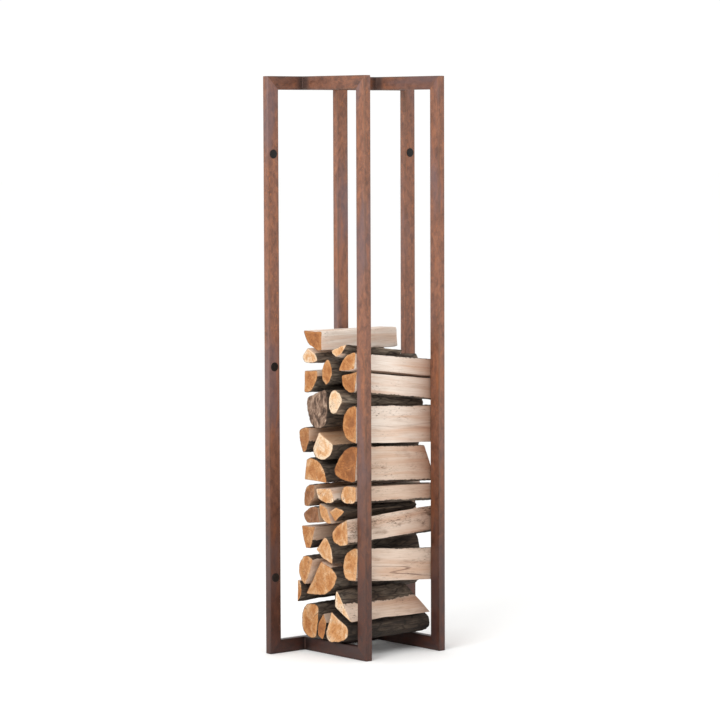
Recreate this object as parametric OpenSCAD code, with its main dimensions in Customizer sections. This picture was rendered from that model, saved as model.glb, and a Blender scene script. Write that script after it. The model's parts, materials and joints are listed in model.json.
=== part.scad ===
// Firewood log rack: a wall frame and two C-shaped hoops of rectangular steel tube, holding split logs.
// +X runs along the wall, +Y into the wall, +Z up. The origin is on the floor, under the rack's middle.

/* [Rack] */
// Height of the rack
rack_h = 1500; // [1200:10:1800]
// Width of the wall frame
rack_w = 500; // [440:10:700]
// How far the hoops stand out in front of the wall frame
hoop_reach = 250; // [250:5:350]

/* [Tube] */
// Wide face of the tube
tube_wide = 35; // [35:1:40]
// Narrow face of the tube
tube_narrow = 20; // [16:1:20]
// Thickness of the tube's wall
tube_wall = 1.5; // [1.2:0.1:2]

/* [Wall fixing] */
// Distance of the lowest and the highest fixing holes from the ends of the uprights
hole_inset = 200; // [100:10:300]
// Access hole in the front of an upright, for the screw head and the driver
access_d = 20; // [14:1:24]
// Screw hole in the back of an upright
screw_d = 8; // [5:0.5:10]

/* [Plugs] */
// How far a plug's domed rim stands proud of the tube
plug_proud = 1.5; // [1:0.1:3]
// How deep a plug's skirt goes into the tube
plug_skirt = 7; // [4:0.5:10]

/* [Hidden] */
$fn = 48;
// the frame's planes along Y: back of the rack, wall frame's front face, hoops' front face
depth = tube_narrow + hoop_reach;
back_y = depth / 2;
bay_back_y = back_y - tube_narrow;
front_y = -depth / 2;
// centre line of each hoop along X
hoop_x = rack_w / 4;
upright_x = rack_w / 2 - tube_wide / 2;
hole_heights = [hole_inset, rack_h / 2, rack_h - hole_inset];
plug_rim_d = access_d + 3;
plug_skirt_d = access_d - 0.4;
// radius of the hoops' weld fillets
bead_r = 1.6;

rust = "#6f4a3c";
rust_dark = "#5a3a30";
bead_brown = "#4f342a";
plug_black = "#2b2827";
split_wood = "#d9bd96";

// Every log is [left end X, length, rise per mm to the right, outline of its end].
// An outline's points are [Y, Z, bulge]: the edge to the next point bows outwards by bulge, 0 where it
// was split flat. The logs are listed from the bottom of the pile to the top, and there is room for each
// to be drawn out endways, clear of its neighbours.
LOGS = [
    [-150, 305, 0, [[52, 41, 5], [92, 43, 6], [111, 79, 5], [98, 120, 4], [66, 131, 4], [42, 122, 2]]],
    [-152, 300, 0, [[20, 38, 2], [42, 48, 3], [40, 84, 0], [20, 108, 0], [6, 86, 3]]],
    [-156, 282, 0, [[-30, 39, 3], [-3, 41, 2], [3, 62, 0], [-19, 120, 0], [-84, 86, 3], [-84, 58, 5]]],
    [-150, 272, 0, [[-90, 97, 0], [-26, 130, 3], [-34, 176, 1], [-60, 142, 0]]],
    [-150, 300, 0, [[16, 157, 2], [92, 152, 0], [31, 245, 0], [-10, 233, 2], [-38, 214, 3],
        [-24, 181, 3]]],
    [-162, 300, 0, [[112, 130, 0], [112, 188, 0], [104, 186, 2], [97, 172, 1], [97, 150, 1]]],
    [-160, 310, 0, [[86, 176, 2], [104, 193, 2], [110, 212, 4], [97, 244, 4], [72, 257, 2],
        [50, 249, 0], [62, 214, 0]]],
    [-138, 288, -0.08, [[-98, 204, 0], [-66, 203, 3], [-47, 219, 2], [-42, 244, 4], [-54, 276, 4],
        [-98, 290, 0]]],
    [-150, 300, 0, [[24, 252, 0], [50, 274, 0], [12, 311, 2], [-4, 298, 3], [-18, 264, 1],
        [-18, 240, 0]]],
    [-158, 302, 0.05, [[-92, 300, 3], [-60, 293, 3], [-31, 304, 3], [-29, 326, 0], [-48, 345, 0],
        [-92, 366, 0]]],
    [-152, 300, 0, [[72, 272, 0], [88, 272, 3], [106, 331, 0], [50, 333, 0], [60, 296, 2]]],
    [-150, 305, 0, [[84, 338, 3], [101, 361, 3], [66, 384, 2], [42, 385, 0], [34, 344, 0]]],
    [-152, 300, 0, [[-18, 345, 3], [14, 350, 3], [31, 372, 2], [33, 396, 0], [2, 386, 0]]],
    [-150, 250, 0, [[-48, 366, 1], [-27, 352, 0], [-6, 377, 0], [-31, 392, 2], [-66, 383, 1]]],
    [-152, 300, 0, [[82, 381, 0], [98, 381, 2], [98, 408, 3], [84, 437, 2], [52, 443, 0], [54, 408, 0]]],
    [-152, 305, 0, [[-24, 402, 1], [-1, 397, 2], [36, 407, 3], [47, 433, 0], [-15, 439, 0],
        [-30, 410, 1]]],
    [-138, 288, -0.04, [[-98, 409, 3], [-66, 401, 3], [-38, 408, 2], [-36, 424, 3], [-52, 448, 0],
        [-98, 448, 0]]],
    [-150, 300, 0, [[5, 449, 0], [96, 452, 0], [88, 505, 3], [64, 512, 5], [22, 490, 4]]],
    [-138, 276, -0.05, [[-98, 461, 3], [-75, 457, 4], [-14, 471, 3], [-8, 488, 4], [-47, 540, 4],
        [-98, 552, 0]]],
    [-158, 300, 0, [[83, 525, 1], [92, 524, 3], [111, 576, 2], [98, 588, 2], [67, 591, 0], [67, 556, 2]]],
    [-152, 300, 0, [[14, 509, 3], [48, 514, 2], [59, 534, 0], [35, 583, 0], [-22, 552, 2],
        [-13, 525, 2]]],
    [-138, 290, -0.05, [[-98, 559, 0], [-68, 563, 3], [-47, 579, 3], [-40, 607, 4], [-53, 640, 3],
        [-76, 654, 2], [-98, 657, 0]]],
    [-150, 300, 0, [[7, 604, 3], [35, 591, 3], [64, 596, 4], [78, 616, 4], [90, 661, 3], [70, 675, 2],
        [11, 693, 3], [3, 668, 1], [2, 636, 2]]],
    [-152, 280, -0.08, [[-34, 632, 2], [-16, 633, 3], [-4, 656, 2], [-4, 677, 4], [-20, 695, 2],
        [-36, 692, 3], [-57, 674, 2], [-56, 662, 2]]],
    [-140, 290, -0.12, [[-98, 692, 1], [-80, 688, 2], [-49, 703, 2], [-38, 731, 0], [-98, 746, 0]]],
    [-150, 300, 0, [[76, 682, 2], [98, 681, 0], [94, 738, 0], [40, 740, 0], [40, 726, 2], [53, 704, 3]]],
    [-150, 300, 0, [[2, 704, 2], [20, 714, 3], [22, 746, 3], [0, 775, 3], [-15, 756, 2], [-20, 732, 3]]],
    [-142, 292, -0.12, [[-98, 752, 0], [-70, 745, 0], [-35, 743, 3], [-52, 776, 4], [-78, 791, 2],
        [-98, 795, 0]]],
    [-150, 190, -0.12, [[-57, 789, 0], [-34, 779, 0], [-20, 786, 1], [-14, 795, 2], [-74, 814, 1]]],
    [-150, 245, 0, [[61, 758, 2], [93, 759, 3], [103, 775, 0], [81, 798, 0], [50, 786, 1], [37, 768, 2]]],
    [-150, 262, 0, [[26, 792, 0], [42, 789, 0], [80, 806, 2], [97, 842, 0], [24, 843, 0]]]
];
arc_steps = 5;

function log_name(i) = str("log_", i < 9 ? "0" : "", i + 1);

// A straight hollow tube along +Z from z = 0: wide along X, narrow along Y, centred on the Z axis.
module tube(wide, narrow, length) {
    difference() {
        translate([-wide / 2, -narrow / 2, 0]) cube([wide, narrow, length]);
        translate([-wide / 2 + tube_wall, -narrow / 2 + tube_wall, -1])
            cube([wide - 2 * tube_wall, narrow - 2 * tube_wall, length + 2]);
    }
}

// An upright of the wall frame, mitred at both ends towards +X, standing on the floor at X = 0.
module mitred_upright() {
    difference() {
        translate([tube_wide / 2, 0, 0]) tube(tube_wide, tube_narrow, rack_h);
        mirror([0, 0, 1]) rotate([0, 45, 0]) mitre_half();
        translate([0, 0, rack_h]) rotate([0, 45, 0]) mitre_half();
    }
}

// A block of waste above z = 0, to be turned until its underside is a mitre plane.
module mitre_half() {
    reach = 3 * tube_wide;
    translate([-reach, -reach, 0]) cube([2 * reach, 2 * reach, reach]);
}

// Access hole in front, screw hole behind, along Y at every fixing height.
module fixing_holes() {
    for (z = hole_heights) translate([tube_wide / 2, 0, z]) {
        rotate([90, 0, 0]) cylinder(h = tube_narrow, d = access_d);
        rotate([-90, 0, 0]) cylinder(h = tube_narrow, d = screw_d);
    }
}

module wall_upright_left() {
    color(rust) translate([-rack_w / 2, back_y - tube_narrow / 2, 0]) difference() {
        mitred_upright();
        fixing_holes();
    }
}

module wall_upright_right() {
    color(rust) mirror([1, 0, 0]) translate([-rack_w / 2, back_y - tube_narrow / 2, 0]) difference() {
        mitred_upright();
        fixing_holes();
    }
}

module wall_upright_middle() {
    color(rust) translate([0, back_y - tube_narrow / 2, tube_wide])
        tube(tube_wide, tube_narrow, rack_h - 2 * tube_wide);
}

// A rail of the wall frame along X, mitred at both ends, its outer edge at z = 0 and its inner edge above.
module mitred_rail() {
    difference() {
        translate([-rack_w / 2, 0, tube_wide / 2]) rotate([0, 90, 0]) tube(tube_wide, tube_narrow, rack_w);
        for (side = [-1, 1]) translate([side * rack_w / 2, 0, 0]) rotate([0, side * 45, 0]) mitre_half();
    }
}

module wall_rail_bottom() {
    color(rust_dark) translate([0, back_y - tube_narrow / 2, 0]) mitred_rail();
}

module wall_rail_top() {
    color(rust) translate([0, back_y - tube_narrow / 2, rack_h]) mirror([0, 0, 1]) mitred_rail();
}

// A hoop's front upright: wide along Y, narrow along X, mitred at both ends towards +Y.
module hoop_upright(x) {
    translate([x, front_y, 0]) rotate([0, 0, 90]) mitred_upright();
}

// A hoop's bar along Y, mitred at the front and butted on the wall frame behind, its outer edge at z = 0.
module hoop_bar(x) {
    translate([x, 0, 0]) difference() {
        translate([0, bay_back_y, tube_wide / 2]) rotate([90, 0, 0]) rotate([0, 0, 90])
            tube(tube_wide, tube_narrow, hoop_reach);
        translate([0, front_y, 0]) rotate([45, 0, 0]) mitre_half();
    }
}

module hoop_top_bar(x) {
    translate([0, 0, rack_h]) mirror([0, 0, 1]) hoop_bar(x);
}

// A ground-down weld bead: a slim fillet along +Z, in the corner between the X = 0 and Y = 0 planes.
module bead(length) {
    difference() {
        translate([0, -bead_r, 0]) cube([bead_r, bead_r, length]);
        translate([bead_r, -bead_r, -1]) cylinder(h = length + 2, r = bead_r);
    }
}

// Fillets up both sides of every hoop bar, where it is butted on a rail of the wall frame.
module weld_beads() {
    color(bead_brown) for (side = [-1, 1]) for (z = [0, rack_h - tube_wide]) for (face = [0, 1])
        translate([side * hoop_x, bay_back_y, z]) mirror([face, 0, 0]) translate([tube_narrow / 2, 0, 0])
            bead(tube_wide);
}

// A snap-in plug on the front of an upright: low domed rim over the hole, hollow skirt inside it.
module plug() {
    rotate([90, 0, 0]) union() {
        rotate_extrude() polygon([[0, 0], [plug_rim_d / 2, 0], [plug_rim_d / 2 - 0.6, plug_proud * 0.6],
            [plug_rim_d / 2 - 2.5, plug_proud], [0, plug_proud]]);
        difference() {
            translate([0, 0, -plug_skirt]) cylinder(h = plug_skirt, d = plug_skirt_d);
            translate([0, 0, -plug_skirt - 1]) cylinder(h = plug_skirt, d = plug_skirt_d - 3);
        }
    }
}

module hole_plugs() {
    color(plug_black) for (side = [-1, 1]) for (z = hole_heights)
        translate([side * upright_x, bay_back_y, z]) plug();
}

// The points of an edge from a to b, bowed outwards (to the right of the way it runs) by bulge, without b.
function bowed_edge(a, b, bulge) =
    bulge == 0 ? [a] :
    let (chord = b - a, run = norm(chord), out = [chord[1], -chord[0]] / run,
         radius = (run * run / 4 + bulge * bulge) / (2 * bulge),
         centre = (a + b) / 2 - out * (radius - bulge),
         half = asin(run / (2 * radius)), mid = atan2(out[1], out[0]))
    [for (k = [0:arc_steps - 1]) let (t = mid - half + 2 * half * k / arc_steps)
        k == 0 ? a : centre + radius * [cos(t), sin(t)]];

function log_outline(pts) = [for (i = [0:len(pts) - 1])
    let (a = pts[i], b = pts[(i + 1) % len(pts)])
    each bowed_edge([a[0], a[1]], [b[0], b[1]], a[2])];

// A log as a prism along its own grain, its left end at the stated X.
module split_log(spec) {
    lean = atan(spec[2]);
    outline = log_outline(spec[3]);
    low = min([for (p = outline) p[1]]);
    // it leans about its outline's lowest height, at the left end
    color(split_wood)
        translate([spec[0], 0, low]) rotate([0, -lean, 0]) translate([0, 0, -low])
            rotate([90, 0, 90]) linear_extrude(spec[1]) polygon(outline);
}

wall_upright_left();
wall_upright_middle();
wall_upright_right();
wall_rail_top();
wall_rail_bottom();
color(rust) hoop_top_bar(-hoop_x);  // left_hoop_top_bar
color(rust) hoop_upright(-hoop_x);  // left_hoop_upright
color(rust_dark) hoop_bar(-hoop_x);  // left_hoop_bottom_bar
color(rust) hoop_top_bar(hoop_x);  // right_hoop_top_bar
color(rust) hoop_upright(hoop_x);  // right_hoop_upright
color(rust_dark) hoop_bar(hoop_x);  // right_hoop_bottom_bar
weld_beads();
hole_plugs();
for (i = [0:len(LOGS) - 1])
    split_log(LOGS[i]);
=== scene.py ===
"""Firewood log rack: rust-patina steel tube welded into a wall frame and two hoops, stacked with split logs.

Metres throughout, in the rack's own frame: +X along the wall, +Y into the wall, +Z up, origin on the floor.
"""

import json
import math
import random

import bpy
import numpy as np
from mathutils import Matrix, Vector, noise


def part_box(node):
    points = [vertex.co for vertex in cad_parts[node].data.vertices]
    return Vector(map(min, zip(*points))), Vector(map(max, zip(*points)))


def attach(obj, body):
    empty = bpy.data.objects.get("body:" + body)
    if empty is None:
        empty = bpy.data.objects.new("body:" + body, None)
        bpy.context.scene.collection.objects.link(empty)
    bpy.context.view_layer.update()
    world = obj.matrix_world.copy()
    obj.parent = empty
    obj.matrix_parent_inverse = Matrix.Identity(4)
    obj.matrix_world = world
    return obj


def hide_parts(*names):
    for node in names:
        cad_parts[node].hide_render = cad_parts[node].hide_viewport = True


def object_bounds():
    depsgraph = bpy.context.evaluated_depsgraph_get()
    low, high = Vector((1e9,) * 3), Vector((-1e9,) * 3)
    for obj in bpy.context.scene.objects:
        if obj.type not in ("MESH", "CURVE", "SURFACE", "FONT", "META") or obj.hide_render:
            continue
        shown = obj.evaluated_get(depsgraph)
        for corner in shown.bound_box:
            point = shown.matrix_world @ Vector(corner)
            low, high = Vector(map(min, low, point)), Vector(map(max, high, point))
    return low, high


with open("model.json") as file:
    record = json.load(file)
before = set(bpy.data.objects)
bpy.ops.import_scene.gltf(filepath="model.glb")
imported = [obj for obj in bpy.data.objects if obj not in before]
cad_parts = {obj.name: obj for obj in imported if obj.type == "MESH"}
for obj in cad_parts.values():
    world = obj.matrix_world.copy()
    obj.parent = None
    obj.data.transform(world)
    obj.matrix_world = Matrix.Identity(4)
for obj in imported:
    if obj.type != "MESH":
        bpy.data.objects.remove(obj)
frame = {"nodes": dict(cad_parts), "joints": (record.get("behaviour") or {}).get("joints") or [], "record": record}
cad_low, cad_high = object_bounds()

MM = 0.001
NEAR = 0.01 * MM            # closer than this is the same place
FLAT = 0.1 * MM             # what spans less than this along a log lies on a sawn end

# Edges sharper than these stay sharp
SMOOTH_STEEL, SMOOTH_WELD, SMOOTH_PLUG, SMOOTH_WOOD = map(math.radians, (28, 40, 32, 38))

# The steel tube and its joints
TUBE_CORNER = 1.8 * MM      # outside radius of the tube's corners
TUBE_WALL = 1.5 * MM
TIP_ROUND = 2.8 * MM        # dressed radius of a mitred outer corner
TIP_CUTS = (0, 15, 30)      # where it is cut to take that arc, in degrees round it
SCREW_HOLE = 4.0 * MM       # radius, in the back of an upright
ACCESS_HOLE = 10.0 * MM     # radius, in its front
BEAD_RADIUS = 1.5 * MM
BEAD_RIPPLE = 3.2 * MM      # from one ripple of a weld to the next
BEAD_FULL, BEAD_WAVE = 0.8, 0.16        # its mean radius and its ripples, as shares of BEAD_RADIUS
BEAD_TIP = 0.45             # how full it is at its very ends
BEAD_SIDES = 16
BEAD_CUTS = 60
HEAT_AND_SHADE_CORE = 14 * MM         # half the width of the darkest part of a band of heat tint and painted corner shade where a bar meets a rail
HEAT_AND_SHADE_REACH = 34 * MM        # half its whole width
HEAT_AND_SHADE_WAVE = 30 * MM         # how far its edge wanders
HOLE_SIDES = 40
SOLID_END = 60 * MM         # left solid at each end of a drilled upright, where the mitres are cut

# The black plugs
PLUG_SIDES = 40
PLUG_FIT = 0.2 * MM         # gap between its skirt and the hole
PLUG_WALL = 1.5 * MM
PLUG_EDGE = 0.8 * MM        # rounding of its rim
PLUG_STEPS = ((1.2, 0), (0.5, -0.35), (1.0, 0), (2.2, 0.2), (2.4, 0.1))     # (inset, rise) in millimetres

# The logs
RIM_STEP = 2.4 * MM         # spacing of the vertices round a log
LENGTH_CUTS = 84            # cross cuts along a log
END_RINGS = (0.93, 0.62, 0.28)
CORNER_TURN = math.radians(24)
ALIKE = 0.02                # edges whose lengths differ by less than this share are one bowed run
BLANK_RADIUS = 50 * MM
END_TILT = 0.035            # most that a sawn end leans, as a slope
END_WEAR = 0.5 * MM         # extra wear on the very edge of an end
SWELL = 0.8 * MM            # most that a log's surface swells past the straight stick
CHIP_REACH = 4 * MM         # how far the chips at a sharp edge reach
BARK_BLEND = 20 * MM        # how far to each side the edge of the bark may stray
ROUND_PITH = np.array([4, 3]) * MM      # how far off its middle the pith of an unsplit log lies
PITH_SHARE = 1.1            # the same on a split log, as a share of its mean radius
STAIN_REACH = 170 * MM      # how far a brown stain runs in from the right end
STAIN_FADE = 1.4            # above 1, it fades faster near that end
GRAIN_SHIFT = 0.37, 0.11    # moves the grain on from one log to the next, along and round it


# ---------------------------------------------------------------- editing helpers

def only(piece):
    """Makes piece the one selected, active object."""
    bpy.ops.object.select_all(action="DESELECT")
    piece.select_set(True)
    bpy.context.view_layer.objects.active = piece


def pick(piece, kind, test):
    """Enters edit mode with only those vertices, edges or polygons of piece selected that pass the test."""
    bpy.ops.object.mode_set(mode="OBJECT")
    mesh = piece.data
    wanted = [bool(test(element)) for element in getattr(mesh, kind)]
    kinds = ("vertices", "edges", "polygons")
    for whole in kinds:
        getattr(mesh, whole).foreach_set("select", [False] * len(getattr(mesh, whole)))
    getattr(mesh, kind).foreach_set("select", wanted)
    bpy.context.tool_settings.mesh_select_mode = [kind == whole for whole in kinds]
    bpy.ops.object.mode_set(mode="EDIT")


def edit_all(piece):
    """Enters edit mode with the whole piece selected."""
    only(piece)
    bpy.ops.object.mode_set(mode="EDIT")
    bpy.ops.mesh.select_mode(type="VERT")
    bpy.ops.mesh.select_all(action="SELECT")


def cut(place, normal, drop=False):
    """Bisects the whole piece in edit mode. With drop, the side that normal points to goes and is closed."""
    bpy.ops.mesh.select_all(action="SELECT")
    bpy.ops.mesh.bisect(plane_co=place, plane_no=normal, clear_outer=drop, use_fill=drop)


def settle(piece, name):
    """Leaves edit mode and moves the piece's place into its mesh."""
    if bpy.context.mode != "OBJECT":
        bpy.ops.object.mode_set(mode="OBJECT")
    only(piece)
    bpy.ops.object.transform_apply(location=True, rotation=True, scale=True)
    piece.name = piece.data.name = name
    return piece


def box_blank(low, high):
    """A cube primitive sized and placed to fill low to high."""
    bpy.ops.object.select_all(action="DESELECT")
    bpy.ops.mesh.primitive_cube_add(size=1, location=(low + high) / 2, scale=high - low)
    return settle(bpy.context.active_object, "blank")


def carve(piece, cutter):
    """Takes the cutter's solid out of the piece, and removes the cutter."""
    step = piece.modifiers.new("carve", "BOOLEAN")
    step.operation, step.solver, step.object = "DIFFERENCE", "EXACT", cutter
    only(piece)
    bpy.ops.object.modifier_apply(modifier=step.name)
    bpy.data.objects.remove(cutter)


def write_attribute(mesh, name, domain, values):
    """Stores three numbers per corner or vertex under name."""
    layer = mesh.attributes.new(name, "FLOAT_VECTOR", domain)
    layer.data.foreach_set("vector", np.asarray(values, np.float32).ravel())


def hand_over(piece, body, slot, material, *nodes):
    """Gives a finished piece its material and body, and hides the CAD nodes that it stands for. slot is not used.
    """
    piece.data.materials.clear()
    piece.data.materials.append(material)
    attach(piece, body)
    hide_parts(*nodes)


# ---------------------------------------------------------------- finishes

def shade(code):
    """A six-digit colour as linear red, green, blue and alpha."""
    parts = [int(code[i:i + 2], 16) / 255 for i in (0, 2, 4)]
    return [c / 12.92 if c <= 0.04045 else ((c + 0.055) / 1.055) ** 2.4 for c in parts] + [1.0]


class Finish:
    """A material, and one short method for each kind of node that it is mixed from."""

    def __init__(self, name):
        self.material = bpy.data.materials.new(name)
        self.material.use_nodes = True
        self.tree = self.material.node_tree
        self.shader = self.tree.nodes["Principled BSDF"]

    def feed(self, socket, value):
        """Links value to the socket if it is a node's output, or else sets it."""
        if isinstance(value, bpy.types.NodeSocket):
            self.tree.links.new(value, socket)
        elif value is not None:
            socket.default_value = value

    def node(self, kind, inputs=(), output=0, **settings):
        made = self.tree.nodes.new("ShaderNode" + kind)
        for key, value in settings.items():
            setattr(made, key, value)
        for key, value in dict(inputs).items():
            self.feed(made.inputs[key], value)
        return made.outputs[output]

    def place(self):
        return self.node("TexCoord", output="Object")

    def grain(self):
        return self.node("UVMap", uv_map="grain")

    def marks(self, name):
        """The three numbers that the piece's mesh stores under name."""
        return self.parts(self.node("Attribute", output="Vector", attribute_name=name))

    def parts(self, vector):
        """The three numbers of a vector."""
        made = self.tree.nodes.new("ShaderNodeSeparateXYZ")
        self.feed(made.inputs[0], vector)
        return list(made.outputs)

    def stretch(self, vector, scale, shift=(0, 0, 0)):
        return self.node("Mapping", {"Vector": vector, "Scale": scale, "Location": shift})

    def cloud(self, vector, scale, detail=4.0, rough=0.55, warp=0.0):
        inputs = {"Vector": vector, "Scale": scale, "Detail": detail, "Roughness": rough, "Distortion": warp}
        return self.node("TexNoise", inputs)

    def cells(self, vector, scale, feature="DISTANCE_TO_EDGE"):
        return self.node("TexVoronoi", {"Vector": vector, "Scale": scale}, output="Distance", feature=feature)

    def math(self, operation, *values, clamp=False):
        inputs = dict(enumerate(values))
        return self.node("Math", inputs, operation=operation, use_clamp=clamp)

    def together(self, first, second):
        return self.node("VectorMath", {0: first, 1: second}, operation="ADD")

    def step(self, value, low, high, start=0.0, end=1.0):
        """Turns smoothly from start to end as value goes from low to high."""
        inputs = {"Value": value, "From Min": low, "From Max": high, "To Min": start, "To Max": end}
        return self.node("MapRange", inputs, interpolation_type="SMOOTHSTEP")

    def mix(self, first, second, amount, blend="MIX"):
        inputs = {0: amount, 6: first, 7: second}
        return self.node("Mix", inputs, output=2, data_type="RGBA", blend_type=blend)

    def ramp(self, value, *stops):
        """A colour for each share of value, as (share, colour) pairs in rising order."""
        made = self.tree.nodes.new("ShaderNodeValToRGB")
        self.feed(made.inputs[0], value)
        points = made.color_ramp.elements
        while len(points) < len(stops):
            points.new(1.0)
        for point, (share, colour) in zip(points, stops):
            point.position, point.color = share, shade(colour)
        return made.outputs[0]

    def relief(self, height, strength=1.0):
        """Bump from a height in metres."""
        return self.node("Bump", {"Height": height, "Distance": 1.0, "Strength": strength})

    def done(self, colour, rough, normal, specular=0.5):
        self.feed(self.shader.inputs["Base Color"], colour)
        self.feed(self.shader.inputs["Roughness"], rough)
        self.feed(self.shader.inputs["Normal"], normal)
        self.shader.inputs["Specular IOR Level"].default_value = specular
        return self.material


def darken(f, colour, code, amount):
    """Multiplies a colour by another, as a stain does, by amount."""
    return f.mix(colour, f.mix(colour, shade(code), 1.0, "MULTIPLY"), amount)


def rust_patina(name, along, depth=0.0, welds=(), weld_axis=0):
    """Sealed rust on steel tube, drawn out a little along axis number along, and darker towards the floor as a
    painted shade.

    A depth above 0 darkens the whole tube as a painted shade. A dark band of heat tint and painted corner shade
    crosses it at each of welds, places along weld_axis.
    """
    f = Finish(name)
    place = f.place()
    soft, drawn = [1.0] * 3, [1.0] * 3
    soft[along], drawn[along] = 0.55, 0.22
    mottle = f.cloud(f.stretch(place, soft), 75, 7, 0.68, 0.8)
    drift = f.cloud(f.stretch(place, drawn), 26, 4, 0.6, 0.4)
    patch = f.cloud(f.stretch(place, drawn, (3, 1, 2)), 15, 3, 0.5)
    flake = f.cloud(f.stretch(place, soft, (1, 5, 3)), 190, 4, 0.62, 1.2)
    colour = f.ramp(mottle, (0.3, "53352a"), (0.44, "714937"), (0.56, "845742"), (0.74, "9d6848"))
    colour = f.mix(colour, shade("665457"), f.step(patch, 0.5, 0.66, 0.0, 0.6))
    colour = f.mix(colour, shade("a3623a"), f.step(drift, 0.52, 0.7, 0.0, 0.5))
    rusty = f.math("MULTIPLY", f.step(flake, 0.54, 0.7, 0.0, 0.7), f.step(patch, 0.56, 0.42, 0.2, 1.0))
    colour = f.mix(colour, shade("ad6a3c"), rusty)
    colour = f.mix(colour, shade("3d2720"), f.step(f.cloud(place, 300, 3, 0.6), 0.6, 0.76, 0.0, 0.5))
    mitre_a, mitre_b, corner = f.marks("joints")
    worn = f.step(corner, 0.4 * MM, 2.6 * MM, 1.0, 0.0)
    colour = f.mix(colour, shade("55402f"), f.math("MULTIPLY", worn, f.step(drift, 0.4, 0.6, 0.0, 0.45)))
    seam = f.step(f.math("MINIMUM", mitre_a, mitre_b), 0.1 * MM, 0.7 * MM, 1.0, 0.0)
    colour = f.mix(colour, shade("3a2720"), f.math("MULTIPLY", seam, f.step(mottle, 0.4, 0.6, 0.15, 0.5)))
    parts = f.parts(place)
    wave = f.math("MULTIPLY", f.math("SUBTRACT", mottle, 0.5), HEAT_AND_SHADE_WAVE)
    # Heat tint and painted corner shade: a dark band across the tube at each weld, where a bar meets the rail
    for weld in welds:
        gap = f.math("ABSOLUTE", f.math("SUBTRACT", f.math("ADD", parts[weld_axis], wave), weld))
        colour = f.mix(colour, shade("38302f"), f.step(gap, HEAT_AND_SHADE_CORE, HEAT_AND_SHADE_REACH, 0.75, 0.0))
    # Painted shade: the tube darkens towards the floor, where the logs shade it
    low = f.math("ADD", parts[2], f.math("MULTIPLY", patch, 0.25))
    colour = darken(f, colour, "6e4638", f.step(low, 0.08, 1.0, 0.88, 0.0))
    # Painted shade: a depth above 0 makes a darker copy of the same rust, for tubes that lie in shade
    colour = darken(f, colour, "9a8a84", depth)
    rough = f.step(mottle, 0.3, 0.75, 0.4, 0.58)
    grit = f.math("MULTIPLY", f.cloud(place, 850, 3, 0.6), 0.16 * MM)
    scale = f.math("MULTIPLY", mottle, 0.3 * MM)
    bumps = f.math("SUBTRACT", f.math("ADD", grit, scale), f.math("MULTIPLY", seam, 0.15 * MM))
    return f.done(colour, rough, f.relief(bumps, 0.8))


def weld_metal():
    """A dressed weld under the same sealed rust, a little darker and smoother than the tube."""
    f = Finish("dressed_weld")
    place = f.place()
    grit = f.cloud(place, 320, 4, 0.6)
    colour = f.ramp(grit, (0.35, "3a2620"), (0.6, "5b3d31"), (0.8, "75523f"))
    return f.done(colour, f.step(grit, 0.3, 0.7, 0.4, 0.6), f.relief(f.math("MULTIPLY", grit, 0.2 * MM)))


def black_plastic():
    """Moulded black polythene with a fine matt texture."""
    f = Finish("black_plug_plastic")
    place = f.place()
    grit = f.cloud(place, 2600, 2, 0.5)
    dust = f.cloud(place, 140, 3, 0.6)
    colour = f.mix(shade("110e0d"), shade("2e2826"), f.step(dust, 0.5, 0.8, 0.0, 0.5))
    relief = f.relief(f.math("MULTIPLY", grit, 0.03 * MM))
    return f.done(colour, f.step(dust, 0.3, 0.7, 0.34, 0.5), relief, 0.3)


def split_face(f, grain, tone, flecks, crack):
    """Colour and height of a face split along the grain: soft pale fibres, flecks, clouds and cracks."""
    fibre = f.cloud(f.stretch(grain, (12, 520, 1)), 1, 5, 0.62)
    band = f.cloud(f.stretch(grain, (3, 34, 1)), 1, 4, 0.55, 0.3)
    cloudy = f.cloud(f.stretch(grain, (11, 34, 1), (4, 1, 0)), 1, 5, 0.62)
    colour = f.ramp(fibre, (0.28, "d3bfac"), (0.48, "e5d5c7"), (0.72, "efe5da"))
    colour = darken(f, colour, "e3b894", f.step(band, 0.42, 0.66, 0.0, 0.5))
    colour = darken(f, colour, "c8a685", tone)
    grey = f.step(cloudy, 0.5, 0.72, 0.0, 0.75)
    colour = darken(f, colour, "9c8876", f.math("MULTIPLY", grey, f.step(flecks, 0.0, 1.0, 0.25, 1.0)))
    speck = f.cloud(f.stretch(grain, (85, 330, 1), (5, 2, 0)), 1, 6, 0.72, 0.5)
    spread = f.cloud(f.stretch(grain, (9, 20, 1), (1, 7, 0)), 1, 4, 0.62)
    dense = f.step(f.math("ADD", spread, f.math("MULTIPLY", flecks, 0.07)), 0.5, 0.66, 0.0, 1.0)
    marked = f.step(f.math("ADD", speck, f.math("MULTIPLY", flecks, 0.05)), 0.54, 0.68, 0.0, 0.9)
    colour = f.mix(colour, shade("56422f"), f.math("MULTIPLY", marked, dense))
    smudge = f.cloud(f.stretch(grain, (24, 62, 1), (3, 8, 0)), 1, 5, 0.65, 0.4)
    blot = f.math("MULTIPLY", f.step(smudge, 0.5, 0.62, 0.0, 0.85), f.step(flecks, 0.3, 1.0))
    colour = f.mix(colour, shade("7a6352"), f.math("MULTIPLY", blot, dense))
    wander = f.cloud(f.stretch(grain, (0.9, 13, 1), (9, 3, 0)), 1, 3, 0.45)
    gap = f.math("ABSOLUTE", f.math("SUBTRACT", wander, 0.5))
    line = f.math("MULTIPLY", f.step(gap, 0.002, 0.009, 1.0, 0.0), crack)
    colour = f.mix(colour, shade("6b4c3b"), f.math("MULTIPLY", line, f.step(cloudy, 0.35, 0.6, 0.3, 0.9)))
    height = f.math("ADD", f.math("MULTIPLY", fibre, 0.3 * MM), f.math("MULTIPLY", band, 1.2 * MM))
    height = f.math("SUBTRACT", height, f.math("MULTIPLY", line, 0.8 * MM))
    return colour, height


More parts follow.
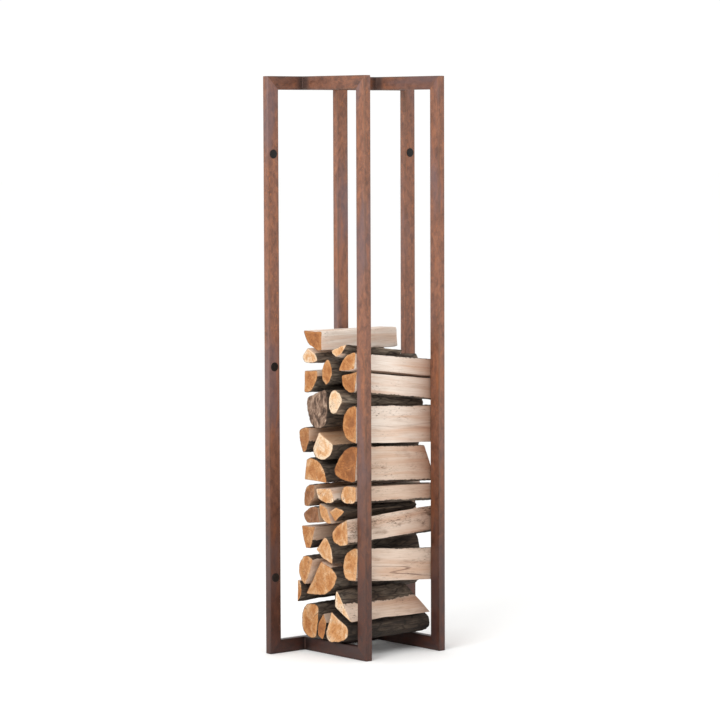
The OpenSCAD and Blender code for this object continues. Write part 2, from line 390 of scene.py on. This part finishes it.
def sawn_end(f, rings, place, tone, share):
    """Colour and height of a sawn end: blotched heart and paler sapwood, growth rings, shakes, saw marks."""
    waver = f.math("MULTIPLY", f.cloud(place, 45, 2, 0.5), 5 * MM)
    reach = f.math("ADD", f.node("VectorMath", {0: rings}, output="Value", operation="LENGTH"), waver)
    ring = f.math("SINE", f.math("MULTIPLY", reach, 2 * math.pi / (3.1 * MM)))
    blotch = f.cloud(place, 34, 6, 0.66, 0.9)
    fuzz = f.cloud(place, 260, 4, 0.65)
    sap = f.math("ADD", f.step(share, 0.55, 0.93, 0.04, 0.2), f.math("MULTIPLY", tone, 0.84))
    ripe = f.math("ADD", f.math("MULTIPLY", f.math("SUBTRACT", blotch, 0.5), 1.8), sap)
    heart = (0.0, "87552f"), (0.25, "a96f3e"), (0.5, "c28c58")
    colour = f.ramp(ripe, *heart, (0.75, "d8ad80"), (1.0, "ead3b5"))
    colour = darken(f, colour, "cf9f74", f.step(ring, -0.5, 1.0, 0.0, 0.28))
    colour = darken(f, colour, "a97f5e", f.step(fuzz, 0.46, 0.72, 0.0, 0.55))
    parts = f.parts(rings)
    turn = f.math("ARCTAN2", parts[1], parts[0])
    shake_at = f.node("CombineXYZ", {0: f.math("MULTIPLY", turn, 9.0), 1: f.math("MULTIPLY", reach, 12.0)})
    shakes = f.cells(f.together(shake_at, place), 1.0)
    shake = f.math("MULTIPLY", f.step(shakes, 0.004, 0.03, 1.0, 0.0), f.step(blotch, 0.46, 0.6))
    colour = f.mix(colour, shade("70452a"), f.math("MULTIPLY", shake, 0.8))
    colour = darken(f, colour, "96693f", f.step(share, 0.93, 1.0, 0.0, 0.6))
    saw = f.cloud(f.stretch(place, (1, 90, 620)), 1, 3, 0.5)
    height = f.math("ADD", f.math("MULTIPLY", saw, 0.45 * MM), f.math("MULTIPLY", fuzz, 0.6 * MM))
    height = f.math("SUBTRACT", height, f.math("MULTIPLY", shake, 0.8 * MM))
    return colour, height


def bark(f, grain, old):
    """Colour and height of bark: long dark furrows between grey-brown plates, with pale lichen."""
    plates = f.cloud(f.stretch(grain, (17, 62, 1)), 1, 7, 0.68, 0.5)
    furrow = f.cells(f.stretch(grain, (15, 80, 1), (2, 4, 0)), 1.0)
    wide = f.cloud(f.stretch(grain, (5, 16, 1), (6, 2, 0)), 1, 3, 0.5)
    colour = f.ramp(plates, (0.3, "4f4238"), (0.45, "857668"), (0.58, "a99783"), (0.76, "cbb9a0"))
    colour = darken(f, colour, "8a6c57", f.step(wide, 0.42, 0.62, 0.0, 0.7))
    colour = f.mix(colour, shade("2a201a"), f.step(furrow, 0.01, 0.1, 0.6, 0.0))
    lichen = f.cloud(f.stretch(grain, (34, 40, 1), (8, 3, 0)), 1, 4, 0.6)
    colour = f.mix(colour, shade("a89c8a"), f.step(lichen, 0.6, 0.74, 0.0, 0.5))
    colour = darken(f, colour, "4a4039", old)
    ridge = f.step(furrow, 0.0, 0.25)
    height = f.math("ADD", f.math("MULTIPLY", plates, 2.6 * MM), f.math("MULTIPLY", ridge, 0.9 * MM))
    return colour, height


def firewood():
    """Split hardwood: a log's own marks say where it is sawn end, bark or split face."""
    f = Finish("split_firewood")
    grain, place = f.grain(), f.place()
    sawn, barked, share = f.marks("wood")
    end_tone, face_tone, stain = f.marks("tone")
    flecks, crack, wander = f.marks("wear")
    old, weathered, _ = f.marks("age")
    face_colour, face_height = split_face(f, grain, face_tone, flecks, crack)
    end_colour, end_height = sawn_end(f, grain, place, end_tone, share)
    bark_colour, bark_height = bark(f, grain, old)
    ragged = f.math("MULTIPLY", f.math("SUBTRACT", f.cloud(place, 130, 5, 0.68), 0.5), 0.35)
    stray = f.math("SUBTRACT", f.cloud(f.stretch(grain, (7, 7, 1)), 1, 4, 0.6), 0.5)
    edge = f.math("ADD", f.math("ADD", barked, ragged), f.math("MULTIPLY", stray, wander))
    bark_edge = f.step(edge, 0.47, 0.53)
    face_colour = darken(f, face_colour, "8d5a2e", stain)
    side = f.mix(face_colour, bark_colour, bark_edge)
    rind = f.math("MULTIPLY", f.step(share, 0.955, 0.985), f.step(f.math("ADD", barked, ragged), 0.45, 0.55))
    end_colour = f.mix(end_colour, shade("3f3024"), f.math("MULTIPLY", rind, 0.85))
    dirt = f.cloud(f.stretch(place, (1, 1.2, 0.8)), 48, 7, 0.7, 0.8)
    grime = f.ramp(dirt, (0.36, "33271f"), (0.46, "5e493c"), (0.54, "866c5a"), (0.66, "b39a85"))
    end_colour = f.mix(end_colour, grime, weathered)
    colour = f.mix(side, end_colour, sawn)
    side_height = f.node("Mix", {0: bark_edge, 2: face_height, 3: bark_height})
    height = f.node("Mix", {0: sawn, 2: side_height, 3: end_height})
    rough = f.node("Mix", {0: bark_edge, 2: 0.68, 3: 0.86})
    return f.done(colour, rough, f.relief(height), 0.35)


# ---------------------------------------------------------------- steel tube

def axis_vector(axis):
    return Vector([float(a == axis) for a in range(3)])


def round_tip(piece, corner, inward, way):
    """Dresses a mitred outer corner round: what lies within TIP_ROUND of it moves onto an arc.

    inward leads from the tube's outer face into it, and way from its tip along it.
    """
    for angle in TIP_CUTS:
        cut(corner + way * TIP_ROUND * (1 - math.tan(math.radians(angle))), way)
    bpy.ops.object.mode_set(mode="OBJECT")
    for vertex in piece.data.vertices:
        offset = vertex.co - corner
        deep = TIP_ROUND - offset.dot(inward)
        far = TIP_ROUND - offset.dot(way)
        reach = math.hypot(deep, far)
        if deep > 0 and far > 0 and reach > TIP_ROUND:
            vertex.co += (inward * deep + way * far) * (1 - TIP_ROUND / reach)
    bpy.ops.object.mode_set(mode="EDIT")


def mark_joints(piece, low, high, along, mitres):
    """Stores each point's distance from the two mitre planes and from the nearest corner of the tube."""
    flat = [axis for axis in range(3) if axis != along]
    far_off = 1.0
    rows = []
    for vertex in piece.data.vertices:
        gaps = [abs((vertex.co - corner).dot(waste)) for corner, waste in mitres] + [far_off, far_off]
        insets = [min(vertex.co[axis] - low[axis], high[axis] - vertex.co[axis]) for axis in flat]
        rows.append([gaps[0], gaps[1], max(0.0, max(insets) - TUBE_CORNER)])
    write_attribute(piece.data, "joints", "POINT", rows)


def drill(piece, low, high, heights):
    """Hollows an upright and makes its access and screw holes, so that both show."""
    wall = Vector((TUBE_WALL, TUBE_WALL, SOLID_END))
    carve(piece, box_blank(low + wall, high - wall))
    middle = (low + high) / 2
    for height in heights:
        for radius, start, end in ((ACCESS_HOLE, low.y - MM, middle.y), (SCREW_HOLE, middle.y, high.y + MM)):
            bpy.ops.object.select_all(action="DESELECT")
            bpy.ops.mesh.primitive_cylinder_add(vertices=HOLE_SIDES, radius=radius, depth=end - start,
                                                location=(middle.x, (start + end) / 2, height),
                                                rotation=(math.pi / 2, 0, 0))
            carve(piece, settle(bpy.context.active_object, "drill"))


def steel_tube(node, material, mitres, hole_heights=()):
    """A round-cornered tube in the place of a CAD tube. A mitre is (outer corner, direction of its waste)."""
    low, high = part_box(node)
    size = high - low
    along = max(range(3), key=lambda axis: size[axis])
    flat = [axis for axis in range(3) if axis != along]
    piece = box_blank(low, high)

    def runs_along(edge):
        ends = [piece.data.vertices[i].co for i in edge.vertices]
        return abs(ends[0][along] - ends[1][along]) > size[along] / 2

    pick(piece, "edges", runs_along)
    bpy.ops.mesh.bevel(offset=TUBE_CORNER, segments=4, profile=0.5, affect="EDGES")
    for axis in flat:
        cut((low + high) / 2, axis_vector(axis))
    for corner, waste in mitres:
        cut(corner, waste, drop=True)
        way = axis_vector(along) * (1 if waste[along] < 0 else -1)
        inward = (waste + way * abs(waste[along])).normalized()
        round_tip(piece, corner, inward, way)
    settle(piece, node + "_tube")
    if hole_heights:
        drill(piece, low, high, hole_heights)
    mark_joints(piece, low, high, along, mitres)
    only(piece)
    bpy.ops.object.shade_smooth_by_angle(angle=SMOOTH_STEEL)
    hand_over(piece, "rack", "rust_steel", material, node)


def mitre(x, y, z, waste):
    return Vector((x, y, z)), Vector(waste).normalized()


def wall_frame():
    """Two mitred uprights, two mitred rails, and the middle upright butted between them."""
    low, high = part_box("wall_rail_top")
    floor, top, back = cad_low.z, high.z, high.y
    left, right = low.x, high.x
    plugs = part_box("hole_plugs")        # they sit in the middle of the outer uprights
    plug_radius = (plugs[1].x - plugs[0].x - (right - left) + (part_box("wall_upright_left")[1].x - left)) / 2
    lowest, highest = plugs[0].z + plug_radius, plugs[1].z - plug_radius
    holes = (lowest, (lowest + highest) / 2, highest)
    bars = [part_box(side + "_hoop_top_bar") for side in ("left", "right")]
    upright = rust_patina("rust_patina_upright", 2)
    # The rails get a painted shade, a depth of 0.6, and a band of heat tint and painted corner shade at each hoop
    # bar
    rail = rust_patina("rust_patina_rail", 0, 0.6, [(bar[0].x + bar[1].x) / 2 for bar in bars])
    for node, x, side in (("wall_upright_left", left, 1), ("wall_upright_right", right, -1)):
        ends = [mitre(x, back, floor, (side, 0, -1)), mitre(x, back, top, (side, 0, 1))]
        steel_tube(node, upright, ends, holes)
    steel_tube("wall_upright_middle", upright, [])
    for node, z, up in (("wall_rail_bottom", floor, 1), ("wall_rail_top", top, -1)):
        ends = [mitre(left, back, z, (-1, 0, up)), mitre(right, back, z, (1, 0, up))]
        steel_tube(node, rail, ends)
    return holes


def hoops():
    """Two C-shaped hoops: a front upright mitred to a top and a bottom bar, which are butted on the rails."""
    upright = rust_patina("rust_patina_hoop_upright", 2)
    # The hoop bars get a painted shade, a depth of 0.3, and a band of heat tint and painted corner shade where
    # they meet the rail
    bar = rust_patina("rust_patina_hoop_bar", 1, 0.3, [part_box("wall_rail_top")[0].y], 1)
    for side in ("left", "right"):
        low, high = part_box(side + "_hoop_upright")
        x, front = (low.x + high.x) / 2, low.y
        ends = [mitre(x, front, low.z, (0, 1, -1)), mitre(x, front, high.z, (0, 1, 1))]
        steel_tube(side + "_hoop_upright", upright, ends)
        steel_tube(side + "_hoop_bottom_bar", bar, [mitre(x, front, low.z, (0, -1, 1))])
        steel_tube(side + "_hoop_top_bar", bar, [mitre(x, front, high.z, (0, -1, -1))])


def weld_beads():
    """Rippled fillets up both sides of every hoop bar, in its corner with the rail."""
    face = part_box("wall_rail_top")[0].y
    beads = []
    for hoop in ("left_hoop", "right_hoop"):
        for bar in ("_bottom_bar", "_top_bar"):
            low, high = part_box(hoop + bar)
            for x in (low.x, high.x):
                start, end = low.z + TUBE_CORNER, high.z - TUBE_CORNER
                bpy.ops.object.select_all(action="DESELECT")
                bpy.ops.mesh.primitive_cylinder_add(vertices=BEAD_SIDES, radius=BEAD_RADIUS,
                                                    depth=end - start,
                                                    location=(x, face, (start + end) / 2))
                bead = settle(bpy.context.active_object, "bead")
                pick(bead, "edges", lambda e: abs(bead.data.vertices[e.vertices[0]].co.z
                                                  - bead.data.vertices[e.vertices[1]].co.z) > MM)
                bpy.ops.mesh.subdivide(number_cuts=BEAD_CUTS)
                bpy.ops.object.mode_set(mode="OBJECT")
                for vertex in bead.data.vertices:
                    from_end = min(vertex.co.z - start, end - vertex.co.z)
                    swell = BEAD_FULL + BEAD_WAVE * math.sin(2 * math.pi * vertex.co.z / BEAD_RIPPLE)
                    swell *= min(1.0, BEAD_TIP + from_end / (2 * MM))
                    vertex.co.x = x + (vertex.co.x - x) * swell
                    vertex.co.y = face + (vertex.co.y - face) * swell
                beads.append(bead)
    only(beads[0])
    for bead in beads:
        bead.select_set(True)
    bpy.ops.object.join()
    run = settle(beads[0], "weld_bead_run")
    bpy.ops.object.shade_smooth_by_angle(angle=SMOOTH_WELD)
    hand_over(run, "rack", "weld_bead", weld_metal(), "weld_beads")


def hole_plugs(heights):
    """A snap-in plug for every access hole: a rounded rim, shallow ring steps, and a skirt behind."""
    low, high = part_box("hole_plugs")
    left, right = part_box("wall_upright_left"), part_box("wall_upright_right")
    face = left[0].y
    proud, skirt = face - low.y, high.y - face
    radius = (left[0].x + left[1].x) / 2 - low.x
    plastic = black_plastic()
    bpy.ops.object.select_all(action="DESELECT")
    bpy.ops.mesh.primitive_cylinder_add(vertices=PLUG_SIDES, radius=radius, depth=proud,
                                        location=(0, -proud / 2, 0), rotation=(math.pi / 2, 0, 0))
    model = settle(bpy.context.active_object, "plug")
    pick(model, "polygons", lambda f: f.normal.y > 0.9)
    bpy.ops.mesh.inset(thickness=radius - ACCESS_HOLE + PLUG_FIT)
    bpy.ops.mesh.extrude_region_move(TRANSFORM_OT_translate={"value": (0, skirt, 0)})
    bpy.ops.mesh.inset(thickness=PLUG_WALL)
    bpy.ops.mesh.extrude_region_move(TRANSFORM_OT_translate={"value": (0, -skirt, 0)})
    pick(model, "edges", lambda e: all(abs(model.data.vertices[i].co.y + proud) < NEAR for i in e.vertices))
    bpy.ops.mesh.bevel(offset=PLUG_EDGE, segments=3, profile=0.5, affect="EDGES")
    pick(model, "polygons", lambda f: f.normal.y < -0.9 and f.area > radius * radius)
    for inset, rise in PLUG_STEPS:
        bpy.ops.mesh.inset(thickness=inset * MM, depth=rise * MM)
    settle(model, "plug")
    bpy.ops.object.shade_smooth_by_angle(angle=SMOOTH_PLUG)
    for side, ends in (("left", left), ("right", right)):
        for height, level in zip(heights, ("low", "middle", "high")):
            plug = bpy.data.objects.new(f"plug_{side}_{level}", model.data.copy())
            bpy.context.scene.collection.objects.link(plug)
            plug.data.name = plug.name
            plug.data.transform(Matrix.Translation(((ends[0].x + ends[1].x) / 2, face, height)))
            hand_over(plug, "rack", "black_plastic", plastic, "hole_plugs")
    bpy.data.objects.remove(model)


# ---------------------------------------------------------------- logs

class Look:
    """How one log looks. The values are shares from 0 to 1, and only wander may pass 1.

    end: 0 a deep orange end, 1 a pale one. face: 0 cream split faces, 1 tan ones.
    cut_back: how far its right end is cut back at the top, in millimetres. stain: how brown that end is.
    flecks: dark flecks and grey clouds on its split faces. crack: how open their cracks are.
    old: how dark its bark is. wander: how far the edge of the bark strays. weathered: how grey its ends are.
    all_bark: barked all round, with no split face.
    """

    def __init__(self, end, face, cut_back=2, stain=0.3, flecks=0.15, crack=0.0, old=0.62, wander=0.3,
                 weathered=0.0, all_bark=False):
        self.end, self.face, self.cut_back, self.stain = end, face, cut_back * MM, stain
        self.flecks, self.crack, self.old, self.wander = flecks, crack, old, wander
        self.weathered, self.all_bark = weathered, all_bark


LOOKS = {
    "log_01": Look(0.5, 0.5), "log_02": Look(0.2, 0.6, old=0.8),
    "log_03": Look(0.7, 0.4, old=0.9, all_bark=True),
    "log_04": Look(1.0, 0.4, cut_back=46, stain=0.5, flecks=0.4, wander=1.3),
    "log_05": Look(0.5, 0.4), "log_06": Look(0.45, 0.5), "log_07": Look(0.5, 0.5),
    "log_08": Look(0.62, 0.35, flecks=0.5, crack=0.8), "log_09": Look(0.7, 0.4),
    "log_10": Look(0.5, 0.35, stain=0.8, flecks=1.0, wander=0.7),
    "log_11": Look(0.35, 0.6, old=0.8), "log_12": Look(0.0, 0.8, weathered=0.35), "log_13": Look(0.55, 0.5),
    "log_14": Look(0.5, 0.4), "log_15": Look(0.2, 0.8, weathered=0.35), "log_16": Look(0.75, 0.3),
    "log_17": Look(0.6, 0.5, stain=0.8), "log_18": Look(0.42, 0.6),
    "log_19": Look(0.02, 0.42, cut_back=46, stain=0.8, flecks=0.35), "log_20": Look(0.3, 0.7, weathered=0.2),
    "log_21": Look(1.0, 0.9), "log_22": Look(0.28, 0.1, stain=1.0, crack=0.3),
    "log_23": Look(0.0, 0.8, weathered=1.0), "log_24": Look(1.0, 0.4, old=0.0),
    "log_25": Look(0.2, 0.05, stain=1.0), "log_26": Look(0.35, 0.4, old=0.4), "log_27": Look(0.4, 0.6),
    "log_28": Look(0.38, 0.03, stain=1.0), "log_29": Look(0.85, 0.3, old=0.3),
    "log_30": Look(0.95, 0.4, old=0.3),
    "log_31": Look(0.22, 0.0, cut_back=6, stain=0.15),
}


def grain_of(name):
    """The direction that a log's fibres run in, from left to right."""
    joint = next(j for j in frame["joints"] if j["child"] == name)
    way = Vector(joint["axis"]).normalized()
    return way if way.x > 0 else -way


class Stick:
    """The straight prism that a log is split from: its outline across the grain, and its length."""

    def __init__(self, name):
        points = np.array([v.co for v in frame["nodes"][name].data.vertices])
        self.grain = np.array(grain_of(name))
        self.up = np.array([-self.grain[2], 0.0, self.grain[0]])
        reach = points @ self.grain
        self.start, self.length = reach.min(), reach.max() - reach.min()
        end = points[reach < self.start + FLAT]
        flat = np.unique(np.round(np.c_[end[:, 1], end @ self.up], 6), axis=0)
        middle = flat.mean(0)
        flat = flat[np.argsort(np.arctan2(flat[:, 1] - middle[1], flat[:, 0] - middle[0]))]
        self.resample(flat)
        self.settle_heart()

    def resample(self, corners):
        """Sets closely spaced outline points, which of them are bark, and which are sharp corners.

        A split face is straight in the outline. Bark is bowed, as a run of short equal edges.
        """
        count = len(corners)
        edges = np.roll(corners, -1, 0) - corners
        runs = np.hypot(edges[:, 0], edges[:, 1])
        alike = np.abs(runs - np.roll(runs, 1)) < ALIKE * runs
        bowed = alike | np.roll(alike, -1)
        first = next((i for i in range(count) if bowed[i] and not bowed[i - 1]), 0)
        heading = np.arctan2(edges[:, 1], edges[:, 0])
        outline, barked, sharp = [], [], []
        for k in range(count):
            i = (first + k) % count
            turn = (heading[i] - heading[i - 1] + math.pi) % (2 * math.pi) - math.pi
            steps = max(1, round(runs[i] / RIM_STEP))
            for j in range(steps):
                outline.append(corners[i] + edges[i] * j / steps)
                barked.append(float(bowed[i]) if j else 0.5 * (float(bowed[i]) + float(bowed[i - 1])))
                sharp.append(float(j == 0 and abs(turn) > CORNER_TURN))
        self.outline, self.barked, self.sharp = map(np.array, (outline, barked, sharp))
        following = np.roll(self.outline, -1, 0)
        cross = self.outline[:, 0] * following[:, 1] - following[:, 0] * self.outline[:, 1]
        self.centre = ((self.outline + following) * cross[:, None]).sum(0) / (3 * cross.sum())
        steps = following - self.outline
        self.travel = np.concatenate([[0], np.cumsum(np.hypot(steps[:, 0], steps[:, 1]))])

    def settle_heart(self):
        """Finds how near each outline point is to a sharp corner, and the pith, away from the bark."""
        corners = self.outline[self.sharp > 0]
        self.edge = np.zeros(len(self.outline))
        if len(corners):
            apart = np.hypot(*(self.outline[:, None] - corners[None]).transpose(2, 0, 1))
            self.edge = np.clip(1 - apart.min(1) / CHIP_REACH, 0, 1)
        rim = self.outline - self.centre
        towards = ((self.barked - self.barked.mean())[:, None] * rim).sum(0)
        run = np.hypot(*towards)
        self.pith = self.centre - ROUND_PITH
        if run > MM * MM:
            self.pith = self.centre - towards / run * PITH_SHARE * np.hypot(*rim.T).mean()

    def at(self, reach, across):
        """Points in the rack's frame, from distances along the grain and places across it."""
        reach, across = np.asarray(reach), np.asarray(across)
        return (reach[..., None] * self.grain + across[..., 0:1] * np.array([0.0, 1.0, 0.0])
                + across[..., 1:2] * self.up)


def log_blank(stick, name):
    """A prism on the stick's outline: a ring extruded to the far end, both ends closed ring by ring."""
    bpy.ops.object.select_all(action="DESELECT")
    bpy.ops.mesh.primitive_circle_add(vertices=len(stick.outline), radius=BLANK_RADIUS, fill_type="NOTHING")
    blank = bpy.context.active_object
    rim = stick.at(np.full(len(stick.outline), stick.start), stick.outline)
    blank.data.vertices.foreach_set("co", rim.astype(np.float32).ravel())
    blank.data.update()
    edit_all(blank)
    way = Vector(stick.grain)
    bpy.ops.mesh.extrude_region_move(TRANSFORM_OT_translate={"value": way * stick.length})
    for end in (1, 0):      # the far end first, because its ring is still selected
        reach = stick.start + stick.length * end
        if not end:
            pick(blank, "vertices", lambda v: v.co.dot(way) < stick.start + NEAR)
        middle = Vector(stick.at(np.array(reach), stick.centre))
        last = 1.0
        for share in END_RINGS:
            bpy.ops.mesh.extrude_region_move()
            bpy.ops.transform.resize(value=[share / last] * 3, center_override=middle)
            last = share
        bpy.ops.mesh.merge(type="CENTER")
    bpy.ops.mesh.select_all(action="SELECT")
    bpy.ops.mesh.normals_make_consistent(inside=False)

    def runs_along(edge):
        ends = [blank.data.vertices[i].co for i in edge.vertices]
        return (ends[0] - ends[1]).length > stick.length / 2

    pick(blank, "edges", runs_along)
    bpy.ops.mesh.subdivide(number_cuts=LENGTH_CUTS)
    return settle(blank, name)


def worn_depth(stick, reach, seed):
    """How far inside the stick's own surface each outline point lies, at one distance along it."""
    depths = []
    for (y, z), barked, edge in zip(stick.outline, stick.barked, stick.edge):
        swell = noise.noise(Vector((reach * 5 + seed, y * 12, z * 12)))
        belly = noise.noise(Vector((reach * 13, y * 34, z * 34 + seed)))
        fibre = noise.noise(Vector((reach * 12 + seed, y * 240, z * 240)))
        plate = noise.noise(Vector((reach * 38, y * 95 + seed, z * 95)))
        crust = noise.noise(Vector((reach * 110, y * 260 + seed, z * 260)))
        split = 2.2 * swell + 1.5 * belly + 0.5 * fibre + 1.0
        rough = 1.8 * swell + 1.6 * plate + 0.8 * crust + 1.0
        chip = edge * (1.0 + 1.8 * noise.noise(Vector((reach * 21, seed, y * 8))))
        depths.append((split * (1 - barked) + rough * barked + chip) * MM)
    return np.maximum(depths, -SWELL)


def nearest_turn(turn, rim_turn):
    """For each direction, which outline point lies in the direction nearest to it."""
    order = np.argsort(rim_turn)
    spot = np.searchsorted(rim_turn[order], turn)
    before, after = order[spot - 1], order[spot % len(order)]
    gaps = [np.abs((turn - rim_turn[side] + math.pi) % (2 * math.pi) - math.pi) for side in (before, after)]
    return np.where(gaps[0] <= gaps[1], before, after)


def roughen(stick, piece, seed, cut_back):
    """Moves a log's vertices from the straight stick to a worn one, with its ends sawn a little askew.

    Returns, for every vertex, its nearest outline point, its share of the way out to the rim, and its
    distance along the straight stick.
    """
    mesh = piece.data
    points = np.zeros(len(mesh.vertices) * 3, np.float32)
    mesh.vertices.foreach_get("co", points)
    points = points.reshape(-1, 3).astype(float)
    reach = points @ stick.grain - stick.start
    across = np.c_[points[:, 1], points @ stick.up] - stick.centre
    rim = stick.outline - stick.centre
    rim_reach = np.hypot(rim[:, 0], rim[:, 1])
    nearest = nearest_turn(np.arctan2(across[:, 1], across[:, 0]), np.arctan2(rim[:, 1], rim[:, 0]))
    share = np.hypot(across[:, 0], across[:, 1]) / rim_reach[nearest]
    spacing = stick.length / (LENGTH_CUTS + 1)
    level = np.rint(reach / spacing).astype(int)
    depth = np.array([worn_depth(stick, spacing * step, seed) for step in range(LENGTH_CUTS + 2)])
    depth[[0, -1]] += END_WEAR
    placed = stick.centre + across * (1 - depth[level, nearest] / rim_reach[nearest])[:, None]
    draw = random.Random(seed)
    tilt = [draw.uniform(-END_TILT, END_TILT) for _ in range(4)]
    top, height = rim[:, 1].max(), np.ptp(rim[:, 1])

    def askew(place, end):
        """How far the sawn end lies inside the stick's own, at a place across it."""
        lean = tilt[2 * end] * place[:, 0] + tilt[2 * end + 1] * place[:, 1]
        return lean + end * cut_back * (1 - (top - place[:, 1]) / height)

    left, right = (askew(across, end) - askew(rim, end).min() for end in (0, 1))
    part = reach / stick.length
    moved = reach + left * (1 - part) - right * part ** 3
    mesh.vertices.foreach_set("co", stick.at(moved + stick.start, placed).astype(np.float32).ravel())
    mesh.update()
    return nearest, share, reach


def bark_share(stick, look):
    """How surely each outline point is bark: 0.5 on the edge of the bark, and 0 or 1 from BARK_BLEND away."""
    if look.all_bark:
        return np.ones(len(stick.outline))
    edges = stick.travel[:-1][stick.barked == 0.5]
    if not edges.size:
        return stick.barked
    gap = np.abs(stick.travel[:-1, None] - edges[None, :])
    away = np.minimum(gap, stick.travel[-1] - gap).min(1)
    return np.clip(0.5 + np.sign(stick.barked - 0.5) * away / (2 * BARK_BLEND), 0, 1)


def mark_wood(stick, piece, nearest, share, reach, look, seed):
    """Stores at every face corner the kind of wood, its tones, and its place along and round the grain."""
    mesh = piece.data
    loops = len(mesh.loops)
    at = np.zeros(loops, np.int32)
    mesh.loops.foreach_get("vertex_index", at)
    sizes = np.zeros(len(mesh.polygons), np.int32)
    mesh.polygons.foreach_get("loop_total", sizes)
    owner = np.repeat(np.arange(len(sizes)), sizes)
    lowest, highest = np.full(len(sizes), stick.length), np.zeros(len(sizes))
    np.minimum.at(lowest, owner, reach[at])
    np.maximum.at(highest, owner, reach[at])
    sawn = (highest - lowest < FLAT)[owner]

    def everywhere(*values):
        return np.tile(values, (loops, 1))

    write_attribute(mesh, "wood", "CORNER", np.c_[sawn, bark_share(stick, look)[nearest[at]], share[at]])
    stain = np.clip(1 - (stick.length - reach[at]) / STAIN_REACH, 0, 1) ** STAIN_FADE * look.stain
    write_attribute(mesh, "tone", "CORNER", np.c_[everywhere(look.end, look.face), stain])
    write_attribute(mesh, "wear", "CORNER", everywhere(look.flecks, look.crack, look.wander))
    write_attribute(mesh, "age", "CORNER", everywhere(look.old, look.weathered, 0.0))
    count = len(stick.outline)
    first, last = np.full(len(sizes), count), np.zeros(len(sizes), int)
    np.minimum.at(first, owner, nearest[at])
    np.maximum.at(last, owner, nearest[at])
    wraps = ((last - first) > count / 2)[owner] & (nearest[at] < count / 2)
    round_it = np.where(wraps, stick.travel[-1], 0) + stick.travel[nearest[at]]
    points = np.zeros(len(mesh.vertices) * 3, np.float32)
    mesh.vertices.foreach_get("co", points)
    points = points.reshape(-1, 3)[at]
    across = np.c_[points[:, 1], points @ stick.up] - stick.pith
    along = np.c_[reach[at], round_it] + seed * np.array(GRAIN_SHIFT)
    layer = mesh.uv_layers.new(name="grain")
    layer.data.foreach_set("uv", np.where(sawn[:, None], across, along).astype(np.float32).ravel())


def split_log(name, wood, seed):
    """Makes one log: a blank on its stick, roughened, marked with its kinds of wood and handed over."""
    stick, look = Stick(name), LOOKS[name]
    blank = log_blank(stick, name + "_wood")
    nearest, share, reach = roughen(stick, blank, seed, look.cut_back)
    mark_wood(stick, blank, nearest, share, reach, look, seed)
    only(blank)
    bpy.ops.object.shade_smooth_by_angle(angle=SMOOTH_WOOD)
    slots = {s["node"]: s["material_slot"] for s in frame["record"]["subparts"]}
    hand_over(blank, name, slots[name], wood, name)


# ---------------------------------------------------------------- stage

FLOOR_SIZE = 120.0
SURROUND = 1.03
LAMP = dict(place=(-3.4, -1.6, 2.6), size=2.0, power=85)
LAMP_AIM = Vector((0, 0, 0.6))
EYE = Vector((-5.2439, -6.2233, 1.3709))
EYE_TURN, EYE_DIP, EYE_ROLL = 39.9028, 4.2756, -0.1941      # degrees: to the right, down, and about the view
LENS, SENSOR = 156.44, 36.0                                 # millimetres


def studio():
    """A plain pale floor, a bright even surround and one soft box from the left."""
    bpy.ops.object.select_all(action="DESELECT")
    bpy.ops.mesh.primitive_plane_add(size=FLOOR_SIZE, location=(0, 0, 0))
    floor = settle(bpy.context.active_object, "floor")
    paint = Finish("pale_floor")
    floor.data.materials.append(paint.done(shade("fdfdfc"), 0.9, None, 0.1))
    world = bpy.data.worlds.new("surround")
    world.use_nodes = True
    back = world.node_tree.nodes["Background"]
    back.inputs["Color"].default_value = (1.0, 1.0, 1.0, 1.0)
    back.inputs["Strength"].default_value = SURROUND
    bpy.context.scene.world = world
    soft_box("key_light", **LAMP)
    bpy.context.scene.view_settings.view_transform = "Standard"


def soft_box(name, place, size, power):
    lamp = bpy.data.lights.new(name, "AREA")
    lamp.size, lamp.energy = size, power
    box = bpy.data.objects.new(name, lamp)
    bpy.context.scene.collection.objects.link(box)
    box.location = place
    aim = LAMP_AIM - Vector(place)
    box.rotation_euler = aim.to_track_quat("-Z", "Y").to_euler()


def camera():
    """Three-quarter view from the front left, from far off and looking slightly down."""
    turn, dip, roll = map(math.radians, (EYE_TURN, EYE_DIP, EYE_ROLL))
    ahead = Vector((math.sin(turn) * math.cos(dip), math.cos(turn) * math.cos(dip), -math.sin(dip)))
    level = Vector((math.cos(turn), -math.sin(turn), 0))
    rise = level.cross(ahead)
    right = level * math.cos(roll) + rise * math.sin(roll)
    above = rise * math.cos(roll) - level * math.sin(roll)
    lens = bpy.data.cameras.new("camera")
    lens.sensor_width, lens.lens = SENSOR, LENS
    lens.clip_end = 100
    eye = bpy.data.objects.new("camera", lens)
    bpy.context.scene.collection.objects.link(eye)
    turned = Matrix((right, above, -ahead)).transposed().to_4x4()
    eye.matrix_world = Matrix.Translation(EYE) @ turned
    bpy.context.scene.camera = eye


camera()
studio()
plug_heights = wall_frame()
hoops()
weld_beads()
hole_plugs(plug_heights)
wood_finish = firewood()
for number, joint in enumerate(frame["joints"]):
    split_log(joint["child"], wood_finish, number + 1)
